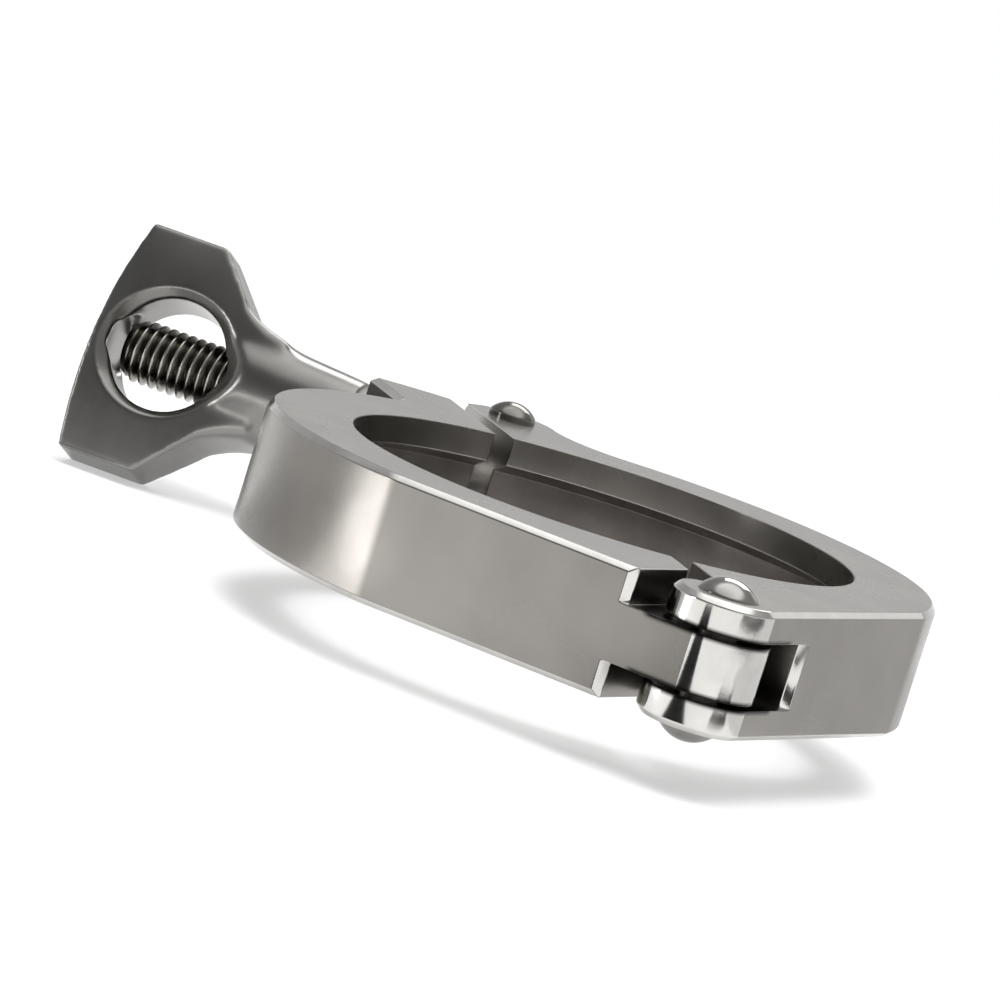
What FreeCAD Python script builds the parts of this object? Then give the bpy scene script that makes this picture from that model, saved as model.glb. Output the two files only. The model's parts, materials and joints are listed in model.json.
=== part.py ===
import FreeCAD
import Part
import math
import os

from FreeCAD import Vector

# Hinged clamp for sanitary ferrules. The ring's axis is Z and its centre is the origin.
# The hinge is on the -Y side and the swing bolt on the +Y side, so the halves part along X:
# the half with the tongue lies towards -X and the half with the clevis towards +X.

# Cast band
band_width = 18.0
band_radius = 48.0          # outside of the round stretch
lip_radius = 36.0           # bore of the two lips
groove_radius = 40.6        # floor of the groove that the flanges sit in
groove_floor = 6.5          # width of that floor
flank_angle = 20.0          # slope of the groove's flanks
closing_gap = 3.0           # between the halves at the closure
edge_chamfer = 0.8          # where the outside meets the side faces

# Hinge
flat_angle = 45.0           # turn from the hinge at which each flat meets the round stretch
flat_depth = 0.6            # of each flat below the round stretch, where they meet
knuckle_radius = 7.4
tongue_width = 8.0
tongue_side_gap = 0.6       # between the tongue and each ear
shoulder_reach = 10.3       # from the hinge pin to the shoulders behind the tongue
slot_reach = 12.4           # from the hinge pin to the end wall of the slot
step_chamfer = 1.1          # bright chamfers on the shoulders and the slot's end wall
hinge_pin_radius = 3.0
hinge_bore_clearance = 0.06
hinge_head_radius = 4.3
hinge_head_height = 2.3

# Closure
closure_shift = 4.0         # from the ring's middle plane to the middle of the gap, towards -X
bolt_line = 55.5            # from the ring's centre to the latched bolt's axis
pivot_offset = 7.0          # from the middle of the gap to the bolt's pivot
pivot_ear_radius = 7.4
seat_thickness = 11.5       # of the forked seat, along the bolt
seat_height = 6.5           # of the seat above the bolt's axis, on the nut's side
seat_fall = 2.2             # by which the seat's top drops towards the gap
seat_bulge = 0.44           # of the seat's top above a straight fall
seat_fillet = 4.0           # at the foot of the seat
fork_side_gap = 1.0         # between the rod and each wall of the fork
fork_drop = 0.8             # of the fork's round floor below the bolt's axis
spot_gap = 0.6              # round the nut's collar, at the foot of the seat

# Swing bolt
rod_radius = 4.7
rod_length = 58.5           # from the pivot to the rod's end
rod_point = 1.0             # chamfer on the rod's end
eye_thickness = 9.4
eye_chamfer = 0.7
eye_side_gap = 0.5          # between the eye and each lug
eye_relief = 0.4            # round the eye and under the rod, between the lugs
bolt_pin_radius = 3.4
bolt_bore_clearance = 0.06
bolt_pin_stand = 0.7        # of the pin's straight end out of each lug
bolt_pin_crown = 1.7        # height of the dome on each end
swing_at_rest = 36.0        # turn of the bolt out of the fork

# Wing nut
nut_gap = 2.2               # between the seat and the nut's collar, with the bolt latched
nut_turn = 20.0             # turn of the wings from the ring's axis
nut_bore_clearance = 0.06
rod_end_room = 2.4          # in the nut's bore, past the end of the rod
collar_radius = 6.7
neck_radius = 7.8           # where the neck runs into the wings
neck_length = 12.5
window_reach = 29.3         # from the collar's face to the window's centre
window_radius = 8.6
window_chamfer = 1.9
wing_span = 36.0
wing_tip_near = 1.9         # from the window's centre back to the start of the flat tips
wing_tip_far = 10.0         # from the window's centre out to the end of the flat tips
wing_knee_back = 9.0        # from the window's centre back to the knee under each wing
wing_knee_half = 10.4       # from the nut's axis to that knee
wing_hollow = 0.5           # of the wings' underside between the neck and the knee
cap_reach = 11.5            # from the window's centre to the crown of the cap
nut_thickness = 12.0
wing_tip_thickness = 7.8

middle = Vector(0, 0, 0)
up = Vector(0, 0, 1)
room = 4 * band_radius      # length of tools that pass right through
skin = 0.05                 # by which the edge tools stand out of what they cut
half_width = band_width / 2
half_gap = closing_gap / 2
flat = math.radians(flat_angle)
flat_reach = band_radius - flat_depth       # from the ring's centre to each flat
hinge_y = -(flat_reach - knuckle_radius) / math.cos(flat)
hinge = Vector(0, hinge_y, 0)
gap_middle = -closure_shift
pivot = Vector(gap_middle + pivot_offset, bolt_line, 0)
seat_face = half_gap + seat_thickness       # from the middle of the gap to the seat's face
fork_half = rod_radius + fork_side_gap
fork_line = bolt_line - fork_drop
lug_slot_half = eye_thickness / 2 + eye_side_gap
slot_half = tongue_width / 2 + tongue_side_gap
collar_face = pivot_offset + seat_face + nut_gap


def flat_directions(side):
    """Outward normal of a half's flat, and the way along it from the hinge."""
    normal = Vector(side * math.sin(flat), -math.cos(flat), 0)
    along = Vector(side * math.cos(flat), math.sin(flat), 0)
    return normal, along


def slab(outline, low, high):
    """Solid between two heights over a closed outline of edges or points."""
    if isinstance(outline[0], Vector):
        wire = Part.makePolygon(outline + outline[:1])
    else:
        wire = Part.Wire(outline)
    face = Part.Face(wire)
    face.translate(Vector(0, 0, low))
    return face.extrude(Vector(0, 0, high - low))


def plate(outline):
    return slab(outline, -half_width, half_width)


def disc(centre, radius, low, high):
    return Part.makeCylinder(radius, high - low, centre + Vector(0, 0, low), up)


def line(start, end):
    return Part.LineSegment(start, end).toShape()


def arc(start, through, end):
    return Part.Arc(start, through, end).toShape()


def bore_tool():
    """Bore through the lips, with the groove for the ferrules' flanges."""
    spread = (groove_radius - lip_radius) * math.tan(math.radians(flank_angle))
    low = groove_floor / 2
    section = [
        Vector(0, 0, -room),
        Vector(lip_radius, 0, -room),
        Vector(lip_radius, 0, -low - spread),
        Vector(groove_radius, 0, -low),
        Vector(groove_radius, 0, low),
        Vector(lip_radius, 0, low + spread),
        Vector(lip_radius, 0, room),
        Vector(0, 0, room),
    ]
    return Part.Face(Part.makePolygon(section + section[:1])).revolve(middle, up, 360)


def hinge_end(side):
    """Outline from a half's crisp edge along its flat and round the knuckle to the gap."""
    normal, along = flat_directions(side)
    rise = math.sqrt(band_radius ** 2 - flat_reach ** 2)
    edge = normal * flat_reach + along * rise
    outer = hinge + normal * knuckle_radius
    climb = math.sqrt(knuckle_radius ** 2 - half_gap ** 2)
    throat = hinge + Vector(side * half_gap, climb, 0)
    return edge, [
        line(edge, outer),
        arc(outer, hinge - along * knuckle_radius, throat),
    ]


def gap_line(side, throat, corner):
    """Outline of a half along the gap, from the hinge through the bore to the closure."""
    low = Vector(side * half_gap, -lip_radius / 2, 0)
    high = Vector(gap_middle + side * half_gap, lip_radius / 2, 0)
    return [line(throat, low), line(low, high), line(high, corner)]


def round_stretch(foot, edge):
    """Arc of the band's outside between the foot of the closure and the crisp edge."""
    through = (foot + edge).normalize() * band_radius
    return arc(foot, through, edge)


def foot_fillet(centre, radius, wall):
    """Concave fillet from a wall of the closure to its foot on the band."""
    foot = centre * (band_radius / (band_radius + radius))
    way = (foot - centre).normalize() + (wall - centre).normalize()
    return foot, arc(wall, centre + way.normalize() * radius, foot)


def seat_outline():
    """Outline of the nut's seat, from its corner at the gap to its foot on the band."""
    face = gap_middle - seat_face
    centre_x = face - seat_fillet
    centre_y = math.sqrt((band_radius + seat_fillet) ** 2 - centre_x ** 2)
    wall = Vector(face, centre_y, 0)
    foot, fillet = foot_fillet(Vector(centre_x, centre_y, 0), seat_fillet, wall)
    crown = bolt_line + seat_height
    corner = Vector(gap_middle - half_gap, crown - seat_fall, 0)
    bulge = Vector(face + seat_thickness / 2, crown - seat_fall / 2 + seat_bulge, 0)
    high = Vector(face, crown, 0)
    return foot, [arc(corner, bulge, high), line(high, wall), fillet]


def lug_outline():
    """Outline of the lugs round the bolt's pivot, from the gap's corner to their foot."""
    outer = pivot.x + pivot_ear_radius
    sweep = (outer ** 2 + bolt_line ** 2 - band_radius ** 2) / (2 * (band_radius - outer))
    wall = Vector(outer, bolt_line, 0)
    foot, fillet = foot_fillet(Vector(outer + sweep, bolt_line, 0), sweep, wall)
    lean = pivot_offset - half_gap
    rise = math.sqrt(pivot_ear_radius ** 2 - lean ** 2)
    corner = Vector(gap_middle + half_gap, bolt_line + rise, 0)
    crown = pivot + Vector(0, pivot_ear_radius, 0)
    return foot, [arc(corner, crown, wall), fillet]


def start_of(edge):
    return edge.valueAt(edge.FirstParameter)


def end_of(edge):
    return edge.valueAt(edge.LastParameter)


def edge_tool(outside, side, way):
    """Tool for the chamfer between a half's outside and one of its side faces."""
    first, last = outside[0], outside[-1]
    start = start_of(first)
    end = end_of(last)
    ahead = first.tangentAt(first.FirstParameter)
    run_in = line(start - ahead * edge_chamfer, start)
    run_out = line(end, end + last.tangentAt(last.LastParameter) * edge_chamfer)
    path = Part.Wire([run_in] + outside + [run_out])
    path.translate(way * half_width)
    corner = start - ahead * edge_chamfer + way * half_width
    out = ahead.cross(up) * -side
    section = [corner - out * edge_chamfer, corner + (out + way) * skin, corner - way * edge_chamfer]
    return path.makePipeShell([Part.makePolygon(section + section[:1])], True, True, 2)


def band(side, closure):
    """Blank of one half: its whole outline at full width, with the bore and groove cut."""
    foot, closure_edges = closure
    edge, hinge_edges = hinge_end(side)
    outside = closure_edges + [round_stretch(foot, edge)] + hinge_edges
    gap = gap_line(side, end_of(outside[-1]), start_of(outside[0]))
    chamfers = [edge_tool(outside, side, up), edge_tool(outside, side, up * -1)]
    return plate(outside + gap).cut(chamfers).cut(bore_tool())


def hinge_step(side, reach, low, high):
    """Tool that cuts a half back from the pin to a step, with the step's corner chamfered."""
    normal, along = flat_directions(side)
    foot = hinge + along * reach
    across = normal * knuckle_radius
    past = normal * room
    return slab([
        foot - past,
        foot + across - normal * step_chamfer,
        foot + across + along * step_chamfer,
        foot + across + along * step_chamfer + past,
        foot - along * room + past,
        foot - along * room - past,
    ], low, high)


def tongue_half():
    shape = band(-1, seat_outline())
    edge = tongue_width / 2
    steps = [hinge_step(-1, shoulder_reach, edge, room),
             hinge_step(-1, shoulder_reach, -room, -edge)]
    bore = disc(hinge, hinge_pin_radius + hinge_bore_clearance, -room, room)
    fork = Part.makeCylinder(fork_half, room, Vector(0, fork_line, 0), Vector(-1, 0, 0))
    way_in = Part.makeBox(room, room, 2 * fork_half, Vector(-room, fork_line, -fork_half))
    spot = Part.makeCylinder(collar_radius + spot_gap, room,
                             Vector(gap_middle - seat_face, bolt_line, 0), Vector(-1, 0, 0))
    return shape.cut(steps).cut([bore, fork, way_in, spot]).removeSplitter()


def clevis_half():
    shape = band(1, lug_outline())
    slot = hinge_step(1, slot_reach, -slot_half, slot_half)
    bores = [disc(hinge, hinge_pin_radius, -room, room),
             disc(pivot, bolt_pin_radius, -room, room)]
    relief = disc(pivot, pivot_ear_radius + eye_relief, -lug_slot_half, lug_slot_half)
    floor = bolt_line - rod_radius - eye_relief
    way_in = Part.makeBox(room, room, 2 * lug_slot_half, Vector(gap_middle, floor, -lug_slot_half))
    return shape.cut(slot).cut(bores).cut([relief, way_in]).removeSplitter()


def domed_pin(radius, shoulder, head_radius, crown):
    """Pin with a dome on each end, above a shoulder where the pin's radius turns into the head's."""
    ball = (head_radius ** 2 + crown ** 2) / (2 * crown)
    halfway = head_radius / 2
    rise = crown - ball + math.sqrt(ball ** 2 - halfway ** 2)
    tip = shoulder + crown
    side = [Vector(radius, 0, -shoulder), Vector(radius, 0, shoulder)]
    if head_radius > radius:
        side = [Vector(head_radius, 0, -shoulder)] + side + [Vector(head_radius, 0, shoulder)]
    section = [line(start, end) for start, end in zip(side, side[1:])]
    section.append(arc(side[-1], Vector(halfway, 0, shoulder + rise), Vector(0, 0, tip)))
    section.append(line(Vector(0, 0, tip), Vector(0, 0, -tip)))
    section.append(arc(Vector(0, 0, -tip), Vector(halfway, 0, -shoulder - rise), side[0]))
    return Part.Face(Part.Wire(section)).revolve(middle, up, 360)


def hinge_pin():
    """Riveted pin, whose heads sit on the ears."""
    shape = domed_pin(hinge_pin_radius, half_width, hinge_head_radius, hinge_head_height)
    shape.translate(hinge)
    return shape


def bolt_pin():
    shape = domed_pin(bolt_pin_radius, half_width + bolt_pin_stand, bolt_pin_radius, bolt_pin_crown)
    shape.translate(pivot)
    return shape


def place_on_bolt(shape):
    """Moves a shape from the bolt's own frame, with its pivot at the origin and its rod along X."""
    shape.rotate(middle, up, 180 - swing_at_rest)
    shape.translate(pivot)
    return shape


def swing_bolt():
    half = eye_thickness / 2
    eye = disc(middle, pivot_ear_radius, -half, half)
    rims = [e for e in eye.Edges if abs(abs(e.CenterOfMass.z) - half) < 1e-6]
    eye = eye.makeChamfer(eye_chamfer, rims)
    rod = Part.makeCylinder(rod_radius, rod_length, middle, Vector(1, 0, 0))
    point = [e for e in rod.Edges if abs(e.CenterOfMass.x - rod_length) < 1e-6]
    rod = rod.makeChamfer(rod_point, point)
    shape = eye.fuse(rod)
    shape = shape.cut(disc(middle, bolt_pin_radius + bolt_bore_clearance, -room, room))
    return place_on_bolt(shape.removeSplitter())


def nut_front():
    """Outline of the wings and cap, drawn along the bolt and across the wings."""
    window = collar_face + window_reach
    tip = wing_span / 2
    knee = Vector(window - wing_knee_back, 0, wing_knee_half)
    near = Vector(window - wing_tip_near, 0, tip)
    far = Vector(window + wing_tip_far, 0, tip)
    throat = Vector(collar_face + neck_length, 0, neck_radius)
    bend = Vector((knee.x + throat.x) / 2, 0, (knee.z + throat.z) / 2 - wing_hollow)
    crown = Vector(window + cap_reach, 0, 0)

    def low(point):
        return Vector(point.x, 0, -point.z)

    outline = [
        line(low(throat), throat),
        arc(throat, bend, knee),
        line(knee, near),
        line(near, far),
        arc(far, crown, low(far)),
        line(low(far), low(near)),
        line(low(near), low(knee)),
        arc(low(knee), low(bend), low(throat)),
    ]
    face = Part.Face(Part.Wire(outline))
    face.translate(Vector(0, -nut_thickness, 0))
    return face.extrude(Vector(0, 2 * nut_thickness, 0))


def nut_lens():
    """Thickness of the nut, full over the window and thinner at the wing tips."""
    tip = wing_span / 2
    edge = wing_tip_thickness / 2
    full = nut_thickness / 2
    outline = [
        arc(Vector(0, -edge, -tip), Vector(0, -full, 0), Vector(0, -edge, tip)),
        line(Vector(0, -edge, tip), Vector(0, edge, tip)),
        arc(Vector(0, edge, tip), Vector(0, full, 0), Vector(0, edge, -tip)),
        line(Vector(0, edge, -tip), Vector(0, -edge, -tip)),
    ]
    return Part.Face(Part.Wire(outline)).extrude(Vector(room, 0, 0))


def nut_window():
    """Round window through the nut, countersunk on both faces."""
    across = Vector(0, 1, 0)
    window = Vector(collar_face + window_reach, 0, 0)
    tool = Part.makeCylinder(window_radius, room, window - across * (room / 2), across)
    depth = nut_thickness / 2 - window_chamfer
    for way in (across, across * -1):
        sink = Part.makeCone(window_radius, window_radius + 2 * window_chamfer,
                             2 * window_chamfer, window + way * depth, way)
        tool = tool.fuse(sink)
    return tool


def wing_nut():
    along = Vector(1, 0, 0)
    start = Vector(collar_face, 0, 0)
    body = nut_front().common(nut_lens())
    neck = Part.makeCone(collar_radius, neck_radius, neck_length, start, along)
    throat = Part.makeCylinder(neck_radius, window_reach - neck_length,
                               Vector(collar_face + neck_length, 0, 0), along)
    shape = body.fuse([neck, throat]).cut(nut_window())
    depth = max(window_reach, rod_length + rod_end_room - collar_face)
    bore = Part.makeCylinder(rod_radius + nut_bore_clearance, depth, start, along)
    shape = shape.cut(bore).removeSplitter()
    shape.rotate(middle, along, nut_turn)
    return place_on_bolt(shape)


nodes = {
    "tongue_half": tongue_half,
    "clevis_half": clevis_half,
    "hinge_pin": hinge_pin,
    "bolt_pin": bolt_pin,
    "swing_bolt": swing_bolt,
    "wing_nut": wing_nut,
}

os.makedirs("parts", exist_ok=True)
for name, build in nodes.items():
    shape = build()
    if len(shape.Solids) != 1 or not shape.isValid():
        raise ValueError(f"{name} isn't one sound solid")
    print(name, "volume", round(shape.Volume), "faces", len(shape.Faces))
    shape.exportStep(f"parts/{name}.step")
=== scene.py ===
import bmesh
import bpy
import json
import math
from mathutils import Matrix, Vector
from mathutils.bvhtree import BVHTree


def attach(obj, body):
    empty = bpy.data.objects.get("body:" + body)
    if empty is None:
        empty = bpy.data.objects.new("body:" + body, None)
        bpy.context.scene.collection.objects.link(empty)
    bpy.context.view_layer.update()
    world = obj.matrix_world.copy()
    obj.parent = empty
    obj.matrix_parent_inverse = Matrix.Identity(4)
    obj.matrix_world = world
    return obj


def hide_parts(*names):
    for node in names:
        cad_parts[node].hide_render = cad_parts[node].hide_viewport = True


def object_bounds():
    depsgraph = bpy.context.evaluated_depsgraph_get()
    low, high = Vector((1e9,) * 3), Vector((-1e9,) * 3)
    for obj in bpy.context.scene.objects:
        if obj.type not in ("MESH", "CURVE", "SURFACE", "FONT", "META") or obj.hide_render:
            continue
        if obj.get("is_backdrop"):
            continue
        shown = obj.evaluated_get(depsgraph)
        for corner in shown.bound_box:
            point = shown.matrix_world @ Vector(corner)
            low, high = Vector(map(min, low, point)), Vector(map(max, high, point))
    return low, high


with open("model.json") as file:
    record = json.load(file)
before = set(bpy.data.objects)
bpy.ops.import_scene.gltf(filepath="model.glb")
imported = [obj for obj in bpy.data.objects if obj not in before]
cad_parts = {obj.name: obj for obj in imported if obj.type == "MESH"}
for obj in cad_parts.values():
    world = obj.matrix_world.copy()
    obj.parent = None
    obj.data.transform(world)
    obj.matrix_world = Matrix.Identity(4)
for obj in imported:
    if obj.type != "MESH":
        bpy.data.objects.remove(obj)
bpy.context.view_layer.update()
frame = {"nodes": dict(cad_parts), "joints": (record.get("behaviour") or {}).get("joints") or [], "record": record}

scene = bpy.context.scene
scene.view_settings.view_transform = "Standard"

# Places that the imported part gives, in metres
joints = {joint["name"]: joint for joint in frame["joints"]}
hingePoint = Vector(joints["clamp_hinge"]["pos_m"])
pivotPoint = Vector(joints["bolt_swing"]["pos_m"])
boltAxis = Vector(joints["nut_travel"]["axis"]).normalized()
boltTurn = math.atan2(boltAxis.y, boltAxis.x)
boltPlace = Matrix.Translation(pivotPoint) @ Matrix.Rotation(boltTurn, 4, "Z")
lipRadius = frame["record"]["mounts"][0]["dims"]["r_mm"] / 1000
mm = 0.001

# Finishes

noiseSpan = (0.3, 0.7)   # most of a noise's values lie between these
noiseDetail = {"mottle": 4, "cloud": 3, "grain": 2}


def addNode(tree, kind, **settings):
    node = tree.nodes.new(kind)
    for name, value in settings.items():
        if name in node.inputs:
            node.inputs[name].default_value = value
        else:
            setattr(node, name, value)
    return node


def noiseNode(tree, place, scale, detail):
    noise = addNode(tree, "ShaderNodeTexNoise", Scale=scale, Detail=detail)
    tree.links.new(place, noise.inputs["Vector"])
    return noise.outputs["Fac"]


def rangeNode(tree, value, low, high, fromLow=noiseSpan[0], fromHigh=noiseSpan[1]):
    node = addNode(tree, "ShaderNodeMapRange")
    node.inputs["From Min"].default_value = fromLow
    node.inputs["From Max"].default_value = fromHigh
    node.inputs["To Min"].default_value = low
    node.inputs["To Max"].default_value = high
    tree.links.new(value, node.inputs["Value"])
    return node.outputs["Result"]


def tintNode(tree, value, dark, light):
    ramp = addNode(tree, "ShaderNodeValToRGB")
    for stop, place, tint in zip(ramp.color_ramp.elements, noiseSpan, (dark, light)):
        stop.position = place
        stop.color = (*tint, 1)
    tree.links.new(value, ramp.inputs["Fac"])
    return ramp.outputs["Color"]


# Colour that turns to another one by a share, 0 to 1
def blendNode(tree, share, colour, other):
    node = addNode(tree, "ShaderNodeMix", data_type="RGBA")
    sockets = {socket.identifier: socket for socket in node.inputs}
    tree.links.new(share, sockets["Factor_Float"])
    tree.links.new(colour, sockets["A_Color"])
    sockets["B_Color"].default_value = (*other, 1)
    return [socket for socket in node.outputs if socket.type == "RGBA"][0]


def mathNode(tree, operation, first, second=0.0):
    node = addNode(tree, "ShaderNodeMath", operation=operation)
    for socket, value in zip(node.inputs, (first, second)):
        if isinstance(value, float):
            socket.default_value = value
        else:
            tree.links.new(value, socket)
    return node.outputs["Value"]


# Painted shade beside the seams between the tongue and the ears: where it lies and how it fades
hingeSeamShade = {
    "height": 4.3 * mm,   # of each seam from the middle plane
    "width": 1.0 * mm,
    "reach": 10.0 * mm,   # from the hinge pin
    "fade": 1.08,         # times the reach, where the painted shade ends
}


# Share of painted shade beside the seams between the tongue and the ears, standing in for the shadow in their gaps
def seamShadeNode(tree, place):
    spot = addNode(tree, "ShaderNodeSeparateXYZ")
    tree.links.new(place, spot.inputs[0])
    height = mathNode(tree, "ABSOLUTE", spot.outputs["Z"])
    away = mathNode(tree, "ABSOLUTE", mathNode(tree, "SUBTRACT", height, hingeSeamShade["height"]))
    beside = rangeNode(tree, away, 1, 0, hingeSeamShade["width"] / 2, hingeSeamShade["width"])
    flat = addNode(tree, "ShaderNodeCombineXYZ")
    tree.links.new(spot.outputs["X"], flat.inputs["X"])
    tree.links.new(mathNode(tree, "SUBTRACT", spot.outputs["Y"], hingePoint.y), flat.inputs["Y"])
    reach = addNode(tree, "ShaderNodeVectorMath", operation="LENGTH")
    tree.links.new(flat.outputs[0], reach.inputs[0])
    seamEnd = hingeSeamShade["reach"] * hingeSeamShade["fade"]
    near = rangeNode(tree, reach.outputs["Value"], 1, 0, hingeSeamShade["reach"], seamEnd)
    return mathNode(tree, "MULTIPLY", beside, near)


# Stainless steel with a mottled colour, uneven gloss and a fine grain, and, where a finish asks for it, painted
# shade in the thread's roots and beside the hinge's seams
def steelFinish(name, look):
    material = bpy.data.materials.new(name)
    material.use_nodes = True
    tree = material.node_tree
    shader = tree.nodes["Principled BSDF"]
    shader.inputs["Metallic"].default_value = 1.0
    place = addNode(tree, "ShaderNodeTexCoord").outputs["Object"]
    mottle = noiseNode(tree, place, look["mottleScale"], noiseDetail["mottle"])
    colour = tintNode(tree, mottle, look["dark"], look["light"])
    # Painted shade in the thread's roots, darkest at the full depth
    if "paintedRootShade" in look:
        mark = addNode(tree, "ShaderNodeAttribute", attribute_name="rootDepth")
        colour = blendNode(tree, mark.outputs["Fac"], colour, look["paintedRootShade"])
    # Painted shade beside the hinge's seams, standing in for the shadow in the gaps
    if "paintedSeamShade" in look:
        colour = blendNode(tree, seamShadeNode(tree, place), colour, look["paintedSeamShade"])
    tree.links.new(colour, shader.inputs["Base Color"])
    cloud = noiseNode(tree, place, look["cloudScale"], noiseDetail["cloud"])
    gloss = rangeNode(tree, cloud, look["smooth"], look["rough"])
    tree.links.new(gloss, shader.inputs["Roughness"])
    grain = noiseNode(tree, place, look["grainScale"], noiseDetail["grain"])
    bump = addNode(tree, "ShaderNodeBump", Strength=look["grainStrength"], Distance=look["grainDepth"])
    tree.links.new(grain, bump.inputs["Height"])
    tree.links.new(bump.outputs["Normal"], shader.inputs["Normal"])
    return material


finishes = {
    "castSatin": {
        "dark": (0.248, 0.235, 0.218), "light": (0.292, 0.277, 0.257), "mottleScale": 90,
        # The near-black colour at the end of the next line is painted shade beside the hinge's seams
        "cloudScale": 55, "smooth": 0.21, "rough": 0.30, "paintedSeamShade": (0.02, 0.018, 0.016),
        "grainScale": 2600, "grainStrength": 0.06, "grainDepth": 0.04 * mm,
    },
    # Rougher cast steel in the groove; its darker colour is painted shade in the recess
    "castGrooveShaded": {
        "dark": (0.125, 0.112, 0.102), "light": (0.195, 0.178, 0.165), "mottleScale": 120,
        "cloudScale": 70, "smooth": 0.34, "rough": 0.50,
        "grainScale": 1500, "grainStrength": 0.25, "grainDepth": 0.06 * mm,
    },
    "polishedEdge": {
        "dark": (0.54, 0.53, 0.51), "light": (0.66, 0.65, 0.625), "mottleScale": 160,
        # The near-black colour at the end of the next line is painted shade beside the hinge's seams
        "cloudScale": 120, "smooth": 0.06, "rough": 0.13, "paintedSeamShade": (0.02, 0.018, 0.016),
        "grainScale": 1800, "grainStrength": 0.05, "grainDepth": 0.03 * mm,
    },
    "pinSteel": {
        "dark": (0.27, 0.262, 0.25), "light": (0.38, 0.37, 0.355), "mottleScale": 200,
        "cloudScale": 150, "smooth": 0.09, "rough": 0.18,
        "grainScale": 2200, "grainStrength": 0.08, "grainDepth": 0.03 * mm,
    },
    "darkPin": {
        "dark": (0.12, 0.115, 0.105), "light": (0.22, 0.21, 0.195), "mottleScale": 300,
        "cloudScale": 200, "smooth": 0.12, "rough": 0.25,
        "grainScale": 2200, "grainStrength": 0.08, "grainDepth": 0.03 * mm,
    },
    "boltSteel": {
        "dark": (0.355, 0.343, 0.320), "light": (0.47, 0.458, 0.43), "mottleScale": 260,
        # The dark colour at the end of the next line is painted shade in the thread's roots
        "cloudScale": 180, "smooth": 0.16, "rough": 0.28, "paintedRootShade": (0.05, 0.042, 0.028),
        "grainScale": 2400, "grainStrength": 0.10, "grainDepth": 0.03 * mm,
    },
    "nutSatin": {
        "dark": (0.185, 0.181, 0.172), "light": (0.245, 0.241, 0.23), "mottleScale": 110,
        "cloudScale": 60, "smooth": 0.20, "rough": 0.30,
        "grainScale": 2200, "grainStrength": 0.12, "grainDepth": 0.05 * mm,
    },
}
materials = {name: steelFinish(name, look) for name, look in finishes.items()}
print("finishes ready:", len(materials))

# Castings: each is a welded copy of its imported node, with softened edges

castings = {
    "weld": 0.004 * mm,
    "flattened": 0.4,            # degrees between faces that are made one
    "slack": 0.02 * mm,
    "edgeWidth": 0.16 * mm,
    "edgeSegments": 2,
    "edgeAngle": 22,
    "creaseAngle": 50,           # above which an edge still shows as sharp
    "flatAngle": 45,             # turn of each hinge flat from the middle plane
    "stepReach": 20 * mm,        # from the hinge, over which the steps lie
    "stepFacing": 0.97,
    "knuckleRadius": 7.4 * mm,   # of the polished ends of the tongue and ears
    "knuckleSlack": 1.03,
    "knuckleLean": 0.3,          # a lean is the share of z in a face's normal
    "chamferLean": (0.4, 0.92),
    "flankLean": (0.9, 0.97),
    "grooveFrom": 3 * mm,        # beyond the lips' radius
    "bandFrom": 6 * mm,
    "finishes": ("castSatin", "castGrooveShaded", "polishedEdge"),
}


def weldedMesh(nodeName, pieceName, flattened=castings["flattened"]):
    bm = bmesh.new()
    bm.from_mesh(frame["nodes"][nodeName].data)
    bmesh.ops.remove_doubles(bm, verts=bm.verts, dist=castings["weld"])
    bmesh.ops.dissolve_degenerate(bm, edges=bm.edges, dist=castings["weld"])
    limit = math.radians(flattened)
    bmesh.ops.dissolve_limit(bm, angle_limit=limit, verts=bm.verts, edges=bm.edges)
    bm.verts.index_update()
    points = [vertex.co.copy() for vertex in bm.verts]
    faces = [[vertex.index for vertex in face.verts] for face in bm.faces]
    bm.free()
    mesh = bpy.data.meshes.new(pieceName)
    mesh.from_pydata(points, [], faces)
    return mesh


def linkPiece(name, mesh):
    piece = bpy.data.objects.new(name, mesh)
    scene.collection.objects.link(piece)
    return piece


# Turns the evaluated piece into a plain mesh
def bakeModifiers(piece):
    graph = bpy.context.evaluated_depsgraph_get()
    mesh = bpy.data.meshes.new_from_object(piece.evaluated_get(graph))
    piece.modifiers.clear()
    piece.data = mesh


def softenEdges(piece, look):
    bevel = piece.modifiers.new("edges", "BEVEL")
    bevel.width = look["edgeWidth"]
    bevel.segments = look["edgeSegments"]
    bevel.limit_method = "ANGLE"
    bevel.angle_limit = math.radians(look["edgeAngle"])
    bevel.use_clamp_overlap = False
    bevel.miter_outer = "MITER_ARC"
    bakeModifiers(piece)
    piece.data.shade_smooth()
    piece.data.set_sharp_from_angle(angle=math.radians(castings["creaseAngle"]))
    weighted = piece.modifiers.new("normals", "WEIGHTED_NORMAL")
    weighted.keep_sharp = True
    bakeModifiers(piece)


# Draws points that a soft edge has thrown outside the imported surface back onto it
def keepInside(piece, nodeName):
    packed = frame["nodes"][nodeName].data
    points = [vertex.co for vertex in packed.vertices]
    surface = BVHTree.FromPolygons(points, [face.vertices for face in packed.polygons])
    moved = 0
    for vertex in piece.data.vertices:
        near, normal, _, distance = surface.find_nearest(vertex.co)
        if distance > castings["slack"] and (vertex.co - near).dot(normal) > 0:
            vertex.co = near
            moved += 1
    print(piece.name, "points drawn back:", moved)


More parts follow.
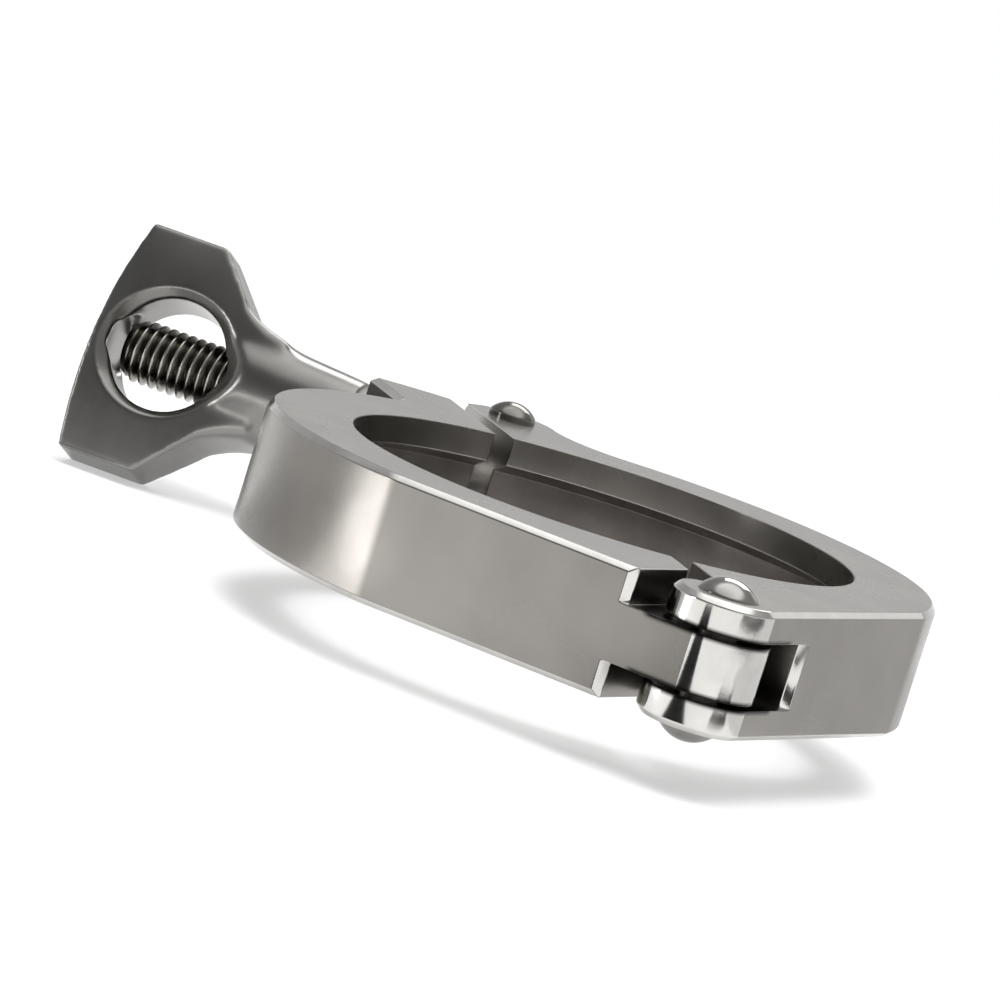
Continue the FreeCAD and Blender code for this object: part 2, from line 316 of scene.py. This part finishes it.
# Finish of a casting's face; side is 1 for the clevis half and -1 for the tongue half
def castFinish(centre, normal, side):
    flat = math.radians(castings["flatAngle"])
    flatNormal = Vector((side * math.sin(flat), -math.cos(flat), 0))
    flatAlong = Vector((side * math.cos(flat), math.sin(flat), 0))
    stepWay = (flatNormal - flatAlong).normalized()
    fromHinge = (Vector((centre.x, centre.y, 0)) - Vector((hingePoint.x, hingePoint.y, 0))).length
    reach = math.hypot(centre.x, centre.y)
    lean = abs(normal.z)
    if reach > lipRadius + castings["bandFrom"]:
        facesStep = abs(normal.dot(stepWay)) > castings["stepFacing"]
        step = facesStep and fromHinge < castings["stepReach"]
        onKnuckle = fromHinge < castings["knuckleRadius"] * castings["knuckleSlack"]
        knuckle = onKnuckle and lean < castings["knuckleLean"]
        chamfer = castings["chamferLean"][0] < lean < castings["chamferLean"][1]
        if step or knuckle or chamfer:
            return "polishedEdge"
    flank = castings["flankLean"][0] < lean < castings["flankLean"][1]
    floor = lean < castings["flankLean"][0] and reach > lipRadius + castings["grooveFrom"]
    # Groove flanks and floor take the darker finish, which is painted shade in the recess
    if reach < lipRadius + castings["bandFrom"] and (flank or floor):
        return "castGrooveShaded"
    return "castSatin"


def makeCastHalf(nodeName, pieceName, side, body):
    piece = linkPiece(pieceName, weldedMesh(nodeName, pieceName))
    softenEdges(piece, castings)
    keepInside(piece, nodeName)
    for name in castings["finishes"]:
        piece.data.materials.append(materials[name])
    for face in piece.data.polygons:
        finish = castFinish(face.center, face.normal, side)
        face.material_index = castings["finishes"].index(finish)
    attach(piece, body)
    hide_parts(nodeName)


makeCastHalf("tongue_half", "tongueHalf", -1, "tongue_side")
makeCastHalf("clevis_half", "clevisHalf", 1, "clevis_side")
print("castings ready")

# Wing nut

wingNut = {
    "grid": 0.25 * mm,          # of the remesh that melts the casting's edges together
    "smoothing": 0.6,
    "passes": 17,
    "throatReach": 34.7 * mm,   # from the pivot to where the wings leave the neck
    "throatHalf": 9.0 * mm,
    "throatInside": 6.4 * mm,   # the bore inside this radius keeps its form
    "throatPasses": 175,
    "throatWeight": 1.6,        # in its middle, held to 1, so that only its ends fade
}


# Marks the throat, where the wings flow into the neck
def markThroat(piece):
    group = piece.vertex_groups.new(name="throat")
    full = wingNut["throatWeight"]
    for vertex in piece.data.vertices:
        away = vertex.co - pivotPoint
        reach = away.dot(boltAxis)
        outside = (away - boltAxis * reach).length > wingNut["throatInside"]
        weight = full - full * abs(reach - wingNut["throatReach"]) / wingNut["throatHalf"]
        if outside and weight > 0:
            group.add([vertex.index], min(weight, 1), "REPLACE")


def addSmoothing(piece, name, passes):
    smoothing = piece.modifiers.new(name, "SMOOTH")
    smoothing.factor = wingNut["smoothing"]
    smoothing.iterations = passes
    return smoothing


def makeWingNut():
    piece = linkPiece("wingNut", weldedMesh("wing_nut", "wingNut"))
    remesh = piece.modifiers.new("skin", "REMESH")
    remesh.mode = "VOXEL"
    remesh.voxel_size = wingNut["grid"]
    bakeModifiers(piece)
    markThroat(piece)
    addSmoothing(piece, "melt", wingNut["passes"])
    addSmoothing(piece, "flow", wingNut["throatPasses"]).vertex_group = "throat"
    bakeModifiers(piece)
    piece.data.shade_smooth()
    piece.data.materials.clear()
    piece.data.materials.append(materials["nutSatin"])
    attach(piece, "nut")
    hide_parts("wing_nut")


makeWingNut()
print("wing nut ready")

# Swing bolt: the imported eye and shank, and a cut thread that Geometry Nodes makes

swingBolt = {
    "rodRadius": 4.7 * mm,
    "threadStart": 15.0 * mm,   # from the pivot
    "lap": 0.5 * mm,            # of the shank into the thread
    "pitch": 1.5 * mm,
    "depth": 0.88 * mm,
    "crestWidth": 0.12,         # as a share of half a pitch
    "flankWidth": 0.72,
    "pointLength": 1.6 * mm,
    "pointDepth": 0.2 * mm,     # of the point's end below the thread's roots
    "around": 64,
    "stepsPerTurn": 12,
    "runOut": 2.0 * mm,         # over which the thread fades in
    "threadWeld": 0.002 * mm,
    "edgeWidth": 0.12 * mm,     # soft edges of the eye
    "edgeSegments": 2,
    "edgeAngle": 25,
    "creaseAngle": 38,
}


# Short calls for a node tree's arithmetic
class NodeMaker:
    def __init__(self, tree):
        self.tree = tree

    def add(self, kind, **settings):
        return addNode(self.tree, kind, **settings)

    def feed(self, socket, value):
        if isinstance(value, (int, float)):
            socket.default_value = value
        else:
            self.tree.links.new(value, socket)

    def sum(self, operation, *values):
        node = self.add("ShaderNodeMath", operation=operation)
        for socket, value in zip(node.inputs, values):
            self.feed(socket, value)
        return node.outputs[0]

    # Splits a place into its three parts
    def split(self, place):
        node = self.add("ShaderNodeSeparateXYZ")
        self.feed(node.inputs[0], place)
        return node.outputs

    # Moves a geometry's points to the place of these three parts
    def move(self, geometry, *parts):
        place = self.add("ShaderNodeCombineXYZ")
        for socket, part in zip(place.inputs, parts):
            self.feed(socket, part)
        moved = self.add("GeometryNodeSetPosition")
        self.feed(moved.inputs["Geometry"], geometry)
        self.feed(moved.inputs["Position"], place.outputs[0])
        return moved.outputs[0]


def threadTree():
    tree = bpy.data.node_groups.new("cutThread", "GeometryNodeTree")
    make = NodeMaker(tree)
    for name in ("Start", "Length", "Crest radius", "Pitch", "Depth", "Point", "Run out"):
        tree.interface.new_socket(name=name, in_out="INPUT", socket_type="NodeSocketFloat")
    for name in ("Around", "Along"):
        tree.interface.new_socket(name=name, in_out="INPUT", socket_type="NodeSocketInt")
    tree.interface.new_socket(name="Steel", in_out="INPUT", socket_type="NodeSocketMaterial")
    tree.interface.new_socket(name="Geometry", in_out="OUTPUT", socket_type="NodeSocketGeometry")
    size = make.add("NodeGroupInput").outputs

    # A flat sheet: X is the angle around the rod, and Y runs along it
    sheet = make.add("GeometryNodeMeshGrid")
    make.feed(sheet.inputs["Size X"], 2 * math.pi)
    make.feed(sheet.inputs["Size Y"], size["Length"])
    make.feed(sheet.inputs["Vertices X"], make.sum("ADD", size["Around"], 1))
    make.feed(sheet.inputs["Vertices Y"], size["Along"])
    spot = make.split(make.add("GeometryNodeInputPosition").outputs[0])
    angle = spot["X"]
    run = make.sum("ADD", spot["Y"], make.sum("DIVIDE", size["Length"], 2))

    # Flat crests and roots between sloping flanks, which fade in over the run-out
    along = make.sum("DIVIDE", run, size["Pitch"])
    turns = make.sum("ADD", along, make.sum("DIVIDE", angle, 2 * math.pi))
    wave = make.sum("PINGPONG", make.sum("MULTIPLY", make.sum("FRACT", turns), 2), 1)
    pastCrest = make.sum("SUBTRACT", wave, swingBolt["crestWidth"])
    flank = make.add("ShaderNodeClamp")
    make.feed(flank.inputs[0], make.sum("DIVIDE", pastCrest, swingBolt["flankWidth"]))
    groove = make.sum("MULTIPLY", make.sum("SUBTRACT", 1, flank.outputs[0]), size["Depth"])
    fade = make.add("ShaderNodeClamp")
    make.feed(fade.inputs[0], make.sum("DIVIDE", run, size["Run out"]))
    groove = make.sum("MULTIPLY", groove, fade.outputs[0])

    # The point, which narrows towards the rod's end
    root = make.sum("SUBTRACT", size["Crest radius"], size["Depth"])
    tip = make.sum("SUBTRACT", root, swingBolt["pointDepth"])
    left = make.sum("SUBTRACT", size["Length"], run)
    drop = make.sum("ADD", size["Depth"], swingBolt["pointDepth"])
    slope = make.sum("DIVIDE", drop, size["Point"])
    limit = make.sum("ADD", tip, make.sum("MULTIPLY", left, slope))
    radius = make.sum("MINIMUM", make.sum("SUBTRACT", size["Crest radius"], groove), limit)

    # The sheet rolled up, and a cap on each end
    across = make.sum("MULTIPLY", radius, make.sum("COSINE", angle))
    upwards = make.sum("MULTIPLY", radius, make.sum("SINE", angle))
    start = make.sum("ADD", run, size["Start"])
    parts = [make.move(sheet.outputs["Mesh"], start, across, upwards)]
    for share, capRadius in ((0, size["Crest radius"]), (1, tip)):
        circle = make.add("GeometryNodeMeshCircle", fill_type="NGON")
        make.feed(circle.inputs["Vertices"], size["Around"])
        make.feed(circle.inputs["Radius"], capRadius)
        ring = make.split(make.add("GeometryNodeInputPosition").outputs[0])
        stand = make.sum("ADD", size["Start"], make.sum("MULTIPLY", size["Length"], share))
        parts.append(make.move(circle.outputs["Mesh"], stand, ring["X"], ring["Y"]))
    join = make.add("GeometryNodeJoinGeometry")
    for part in parts:
        tree.links.new(part, join.inputs[0])
    merge = make.add("GeometryNodeMergeByDistance")
    make.feed(merge.inputs["Geometry"], join.outputs[0])
    make.feed(merge.inputs["Distance"], swingBolt["threadWeld"])
    solid = make.add("GeometryNodeRealizeInstances")
    make.feed(solid.inputs[0], merge.outputs[0])
    steel = make.add("GeometryNodeSetMaterial")
    make.feed(steel.inputs["Geometry"], solid.outputs[0])
    make.feed(steel.inputs["Material"], size["Steel"])
    make.feed(make.add("NodeGroupOutput").inputs[0], steel.outputs[0])
    return tree


# Piece that a node tree makes from these named inputs
def runTree(name, tree, values):
    piece = linkPiece(name, bpy.data.meshes.new(name))
    modifier = piece.modifiers.new("tree", "NODES")
    modifier.node_group = tree
    inputs = [item for item in tree.interface.items_tree if item.in_out == "INPUT"]
    sockets = {item.name: item.identifier for item in inputs}
    for key, value in values.items():
        modifier[sockets[key]] = value
    piece.update_tag()
    bpy.context.view_layer.update()
    bakeModifiers(piece)
    return piece


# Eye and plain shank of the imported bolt, up to a cut across the rod
def shankMesh(cut):
    mesh = weldedMesh("swing_bolt", "shank")
    bm = bmesh.new()
    bm.from_mesh(mesh)
    where = boltPlace @ Vector((cut, 0, 0))
    everything = list(bm.verts) + list(bm.edges) + list(bm.faces)
    bmesh.ops.bisect_plane(bm, geom=everything, plane_co=where, plane_no=boltAxis, clear_outer=True)
    bmesh.ops.holes_fill(bm, edges=[edge for edge in bm.edges if edge.is_boundary], sides=0)
    bmesh.ops.recalc_face_normals(bm, faces=bm.faces)
    bm.to_mesh(mesh)
    bm.free()
    return mesh


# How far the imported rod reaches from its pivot
def boltEnd():
    points = frame["nodes"]["swing_bolt"].data.vertices
    return max((point.co - pivotPoint).dot(boltAxis) for point in points)


# Depth of each point below the thread's crests, as a share of the thread's depth, which sets its painted shade in
# the roots
def markRoots(mesh):
    marks = []
    for vertex in mesh.vertices:
        away = vertex.co - pivotPoint
        reach = away.dot(boltAxis)
        depth = swingBolt["rodRadius"] - (away - boltAxis * reach).length
        threaded = reach > swingBolt["threadStart"] + swingBolt["lap"]
        marks.append(min(max(depth / swingBolt["depth"], 0), 1) if threaded else 0)
    layer = mesh.attributes.new("rootDepth", "FLOAT", "POINT")
    layer.data.foreach_set("value", marks)


def makeSwingBolt():
    length = boltEnd() - swingBolt["threadStart"]
    thread = runTree("thread", threadTree(), {
        "Start": swingBolt["threadStart"],
        "Length": length,
        "Crest radius": swingBolt["rodRadius"],
        "Pitch": swingBolt["pitch"],
        "Depth": swingBolt["depth"],
        "Point": swingBolt["pointLength"],
        "Run out": swingBolt["runOut"],
        "Around": swingBolt["around"],
        "Along": int(length / swingBolt["pitch"] * swingBolt["stepsPerTurn"]) + 1,
        "Steel": materials["boltSteel"],
    })
    thread.data.transform(boltPlace)
    shank = linkPiece("shank", shankMesh(swingBolt["threadStart"] + swingBolt["lap"]))
    softenEdges(shank, swingBolt)
    bm = bmesh.new()
    bm.from_mesh(shank.data)
    bm.from_mesh(thread.data)
    bmesh.ops.recalc_face_normals(bm, faces=bm.faces)
    mesh = bpy.data.meshes.new("swingBolt")
    bm.to_mesh(mesh)
    bm.free()
    markRoots(mesh)
    mesh.materials.append(materials["boltSteel"])
    mesh.shade_smooth()
    mesh.set_sharp_from_angle(angle=math.radians(swingBolt["creaseAngle"]))
    for part in (shank, thread):
        bpy.data.objects.remove(part)
    piece = linkPiece("swingBolt", mesh)
    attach(piece, "bolt")
    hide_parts("swing_bolt")


makeSwingBolt()
print("swing bolt ready")

# Pins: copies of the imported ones, with smooth domes

pins = {
    "flattened": 0.05,   # degrees between faces that are made one
    "edgeWidth": 0.14 * mm,
    "edgeSegments": 3,
    "edgeAngle": 30,
}


def makePin(nodeName, pieceName, finish):
    piece = linkPiece(pieceName, weldedMesh(nodeName, pieceName, pins["flattened"]))
    softenEdges(piece, pins)
    piece.data.materials.clear()
    piece.data.materials.append(materials[finish])
    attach(piece, "clevis_side")
    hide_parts(nodeName)


makePin("hinge_pin", "hingePin", "pinSteel")
makePin("bolt_pin", "boltPin", "darkPin")
print("pins ready")

# Floor

floorLook = {
    "size": 30.0,
    "colour": (0.90, 0.90, 0.90),
    "roughness": 0.6,
    "shine": 0.1,
    "nearGlow": 0.48,   # share of plain white close to the object, where its shadow falls
    "fadeFrom": 0.12,   # distances over which the floor turns plain white
    "fadeTo": 0.55,
}


def makeFloor():
    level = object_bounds()[0].z
    half = floorLook["size"] / 2
    mesh = bpy.data.meshes.new("floor")
    corners = [(-half, -half, level), (half, -half, level), (half, half, level), (-half, half, level)]
    mesh.from_pydata(corners, [], [(0, 1, 2, 3)])
    floor = linkPiece("floor", mesh)
    material = bpy.data.materials.new("paleFloor")
    material.use_nodes = True
    tree = material.node_tree
    shader = tree.nodes["Principled BSDF"]
    shader.inputs["Base Color"].default_value = (*floorLook["colour"], 1)
    shader.inputs["Roughness"].default_value = floorLook["roughness"]
    shader.inputs["Specular IOR Level"].default_value = floorLook["shine"]
    glow = addNode(tree, "ShaderNodeEmission", Strength=1.0)
    away = addNode(tree, "ShaderNodeVectorMath", operation="LENGTH")
    tree.links.new(addNode(tree, "ShaderNodeTexCoord").outputs["Object"], away.inputs[0])
    fade = rangeNode(tree, away.outputs["Value"], floorLook["nearGlow"], 1.0,
                     floorLook["fadeFrom"], floorLook["fadeTo"])
    path = addNode(tree, "ShaderNodeLightPath").outputs
    seen = mathNode(tree, "MAXIMUM", path["Is Camera Ray"], path["Is Glossy Ray"])
    mix = addNode(tree, "ShaderNodeMixShader")
    tree.links.new(mathNode(tree, "MULTIPLY", seen, fade), mix.inputs["Fac"])
    tree.links.new(shader.outputs[0], mix.inputs[1])
    tree.links.new(glow.outputs[0], mix.inputs[2])
    tree.links.new(mix.outputs[0], tree.nodes["Material Output"].inputs["Surface"])
    mesh.materials.append(material)
    floor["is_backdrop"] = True


makeFloor()

# Light: a pale sky that darkens overhead, and soft boxes and cards that the steel reflects

skyLook = {
    "strength": 1.0,
    # From the horizon to overhead: sine of the elevation, then brightness
    "tones": [(0.0, 0.85), (0.13, 0.74), (0.30, 0.50), (0.60, 0.42), (0.80, 0.55), (0.90, 2.0)],
    # A darker part of the sky: its place and its angles in degrees, and how much darker it is
    "flag": {"azimuth": -57, "elevation": 33, "inner": 28, "outer": 62, "share": 0.5},
}

# A box that isn't mirrored lights the floor and the rest, but the steel doesn't show it
softBoxes = [
    {
        "name": "topBox", "azimuth": -30, "elevation": 78, "distance": 0.9,
        "size": (0.7, 0.7), "power": 10, "mirrored": False,
    },
    {
        "name": "sideBox", "azimuth": -88, "elevation": 6, "distance": 1.1,
        "size": (0.16, 0.5), "power": 2.0, "mirrored": True,
    },
    {
        "name": "backBox", "azimuth": 150, "elevation": 40, "distance": 1.1,
        "size": (0.6, 0.4), "power": 3.5, "mirrored": True,
    },
    {
        "name": "rightBox", "azimuth": 126, "elevation": 26, "distance": 1.1,
        "size": (0.3, 0.3), "power": 0.15, "mirrored": True,
    },
]

# Cards on the floor that only the steel shows: middle, turn in degrees, length and width
cardLift = 0.4 * mm
floorCards = [
    {"name": "stripeCard", "spot": (-0.18, -0.016), "turn": -90, "size": (0.17, 0.058), "glow": 5.0},
    {"name": "leftCard", "spot": (-0.102, -0.137), "turn": -52, "size": (0.18, 0.05), "glow": 0.02},
    {"name": "frontCard", "spot": (0.139, -0.186), "turn": 47, "size": (0.06, 0.19), "glow": 0.03},
    {"name": "nearCard", "spot": (0.049, -0.126), "turn": 35, "size": (0.030, 0.05), "glow": 0.03},
    {"name": "backCard", "spot": (-0.151, 0.078), "turn": -125, "size": (0.17, 0.12), "glow": 0.62},
    {"name": "rightCard", "spot": (0.196, -0.015), "turn": 102, "size": (0.28, 0.22), "glow": 0.90},
]


# Unit vector from the object towards this azimuth and elevation, with azimuth 0 at -Y
def direction(azimuth, elevation):
    turn = math.radians(azimuth)
    rise = math.radians(elevation)
    level = math.cos(rise)
    return Vector((math.sin(turn) * level, -math.cos(turn) * level, math.sin(rise)))


def makeSky():
    world = bpy.data.worlds.new("sky")
    scene.world = world
    world.use_nodes = True
    tree = world.node_tree
    way = addNode(tree, "ShaderNodeTexCoord").outputs["Generated"]
    spot = addNode(tree, "ShaderNodeSeparateXYZ")
    tree.links.new(way, spot.inputs[0])
    ramp = addNode(tree, "ShaderNodeValToRGB")
    stops = ramp.color_ramp.elements
    while len(stops) < len(skyLook["tones"]):
        stops.new(0.5)
    for stop, (height, tone) in zip(stops, skyLook["tones"]):
        stop.position = height
        stop.color = (tone, tone, tone, 1)
    tree.links.new(spot.outputs["Z"], ramp.inputs["Fac"])
    flag = skyLook["flag"]
    near = addNode(tree, "ShaderNodeVectorMath", operation="DOT_PRODUCT")
    tree.links.new(way, near.inputs[0])
    near.inputs[1].default_value = direction(flag["azimuth"], flag["elevation"])
    outer = math.cos(math.radians(flag["outer"]))
    inner = math.cos(math.radians(flag["inner"]))
    dark = rangeNode(tree, near.outputs["Value"], 0, flag["share"], outer, inner)
    back = tree.nodes["Background"]
    tree.links.new(blendNode(tree, dark, ramp.outputs["Color"], (0, 0, 0)), back.inputs["Color"])
    back.inputs["Strength"].default_value = skyLook["strength"]
    white = addNode(tree, "ShaderNodeBackground", Strength=1.0, Color=(1, 1, 1, 1))
    mix = addNode(tree, "ShaderNodeMixShader")
    path = addNode(tree, "ShaderNodeLightPath").outputs
    tree.links.new(path["Is Camera Ray"], mix.inputs["Fac"])
    tree.links.new(back.outputs[0], mix.inputs[1])
    tree.links.new(white.outputs[0], mix.inputs[2])
    tree.links.new(mix.outputs[0], tree.nodes["World Output"].inputs["Surface"])


def makeSoftBox(box):
    light = bpy.data.lights.new(box["name"], "AREA")
    light.shape = "RECTANGLE"
    light.size, light.size_y = box["size"]
    light.energy = box["power"]
    lamp = bpy.data.objects.new(box["name"], light)
    scene.collection.objects.link(lamp)
    way = direction(box["azimuth"], box["elevation"])
    lamp.location = way * box["distance"]
    lamp.rotation_mode = "QUATERNION"
    lamp.rotation_quaternion = way.to_track_quat("Z", "Y")
    lamp.visible_camera = False
    lamp.visible_glossy = box["mirrored"]


def makeFloorCard(card):
    spot = Vector((*card["spot"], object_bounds()[0].z + cardLift))
    length, width = card["size"]
    away = direction(card["turn"], 0)
    side = away.cross(Vector((0, 0, 1))) * (width / 2)
    near = spot - away * (length / 2)
    far = spot + away * (length / 2)
    mesh = bpy.data.meshes.new(card["name"])
    mesh.from_pydata([near - side, near + side, far + side, far - side], [], [(0, 1, 2, 3)])
    piece = linkPiece(card["name"], mesh)
    material = bpy.data.materials.new(card["name"])
    material.use_nodes = True
    tree = material.node_tree
    glow = addNode(tree, "ShaderNodeEmission", Strength=card["glow"])
    tree.links.new(glow.outputs[0], tree.nodes["Material Output"].inputs["Surface"])
    mesh.materials.append(material)
    piece.visible_camera = False
    piece.visible_diffuse = False
    piece.visible_shadow = False
    piece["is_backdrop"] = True


makeSky()
for box in softBoxes:
    makeSoftBox(box)
for card in floorCards:
    makeFloorCard(card)
print("light ready")

# Camera

cameraLook = {
    "azimuth": -19.3,
    "elevation": 7.8,
    "roll": 17.5,               # clockwise lean of the object in the picture, in degrees
    "distance": 1.145,
    "aim": (-0.0136, 0.0045),   # of the picture's centre, right of and above the ring's centre
    "lens": 300.0,
    "clip": (0.05, 60),
}


def makeCamera():
    back = direction(cameraLook["azimuth"], cameraLook["elevation"])
    right = Vector((0, 0, 1)).cross(back).normalized()
    top = back.cross(right)
    roll = math.radians(cameraLook["roll"])
    camRight = right * math.cos(roll) + top * math.sin(roll)
    camTop = top * math.cos(roll) - right * math.sin(roll)
    aim = right * cameraLook["aim"][0] + top * cameraLook["aim"][1]
    data = bpy.data.cameras.new("camera")
    data.lens = cameraLook["lens"]
    data.clip_start, data.clip_end = cameraLook["clip"]
    camera = bpy.data.objects.new("camera", data)
    scene.collection.objects.link(camera)
    turn = Matrix((camRight, camTop, back)).transposed().to_4x4()
    camera.matrix_world = Matrix.Translation(aim + back * cameraLook["distance"]) @ turn
    scene.camera = camera


makeCamera()
print("camera ready")
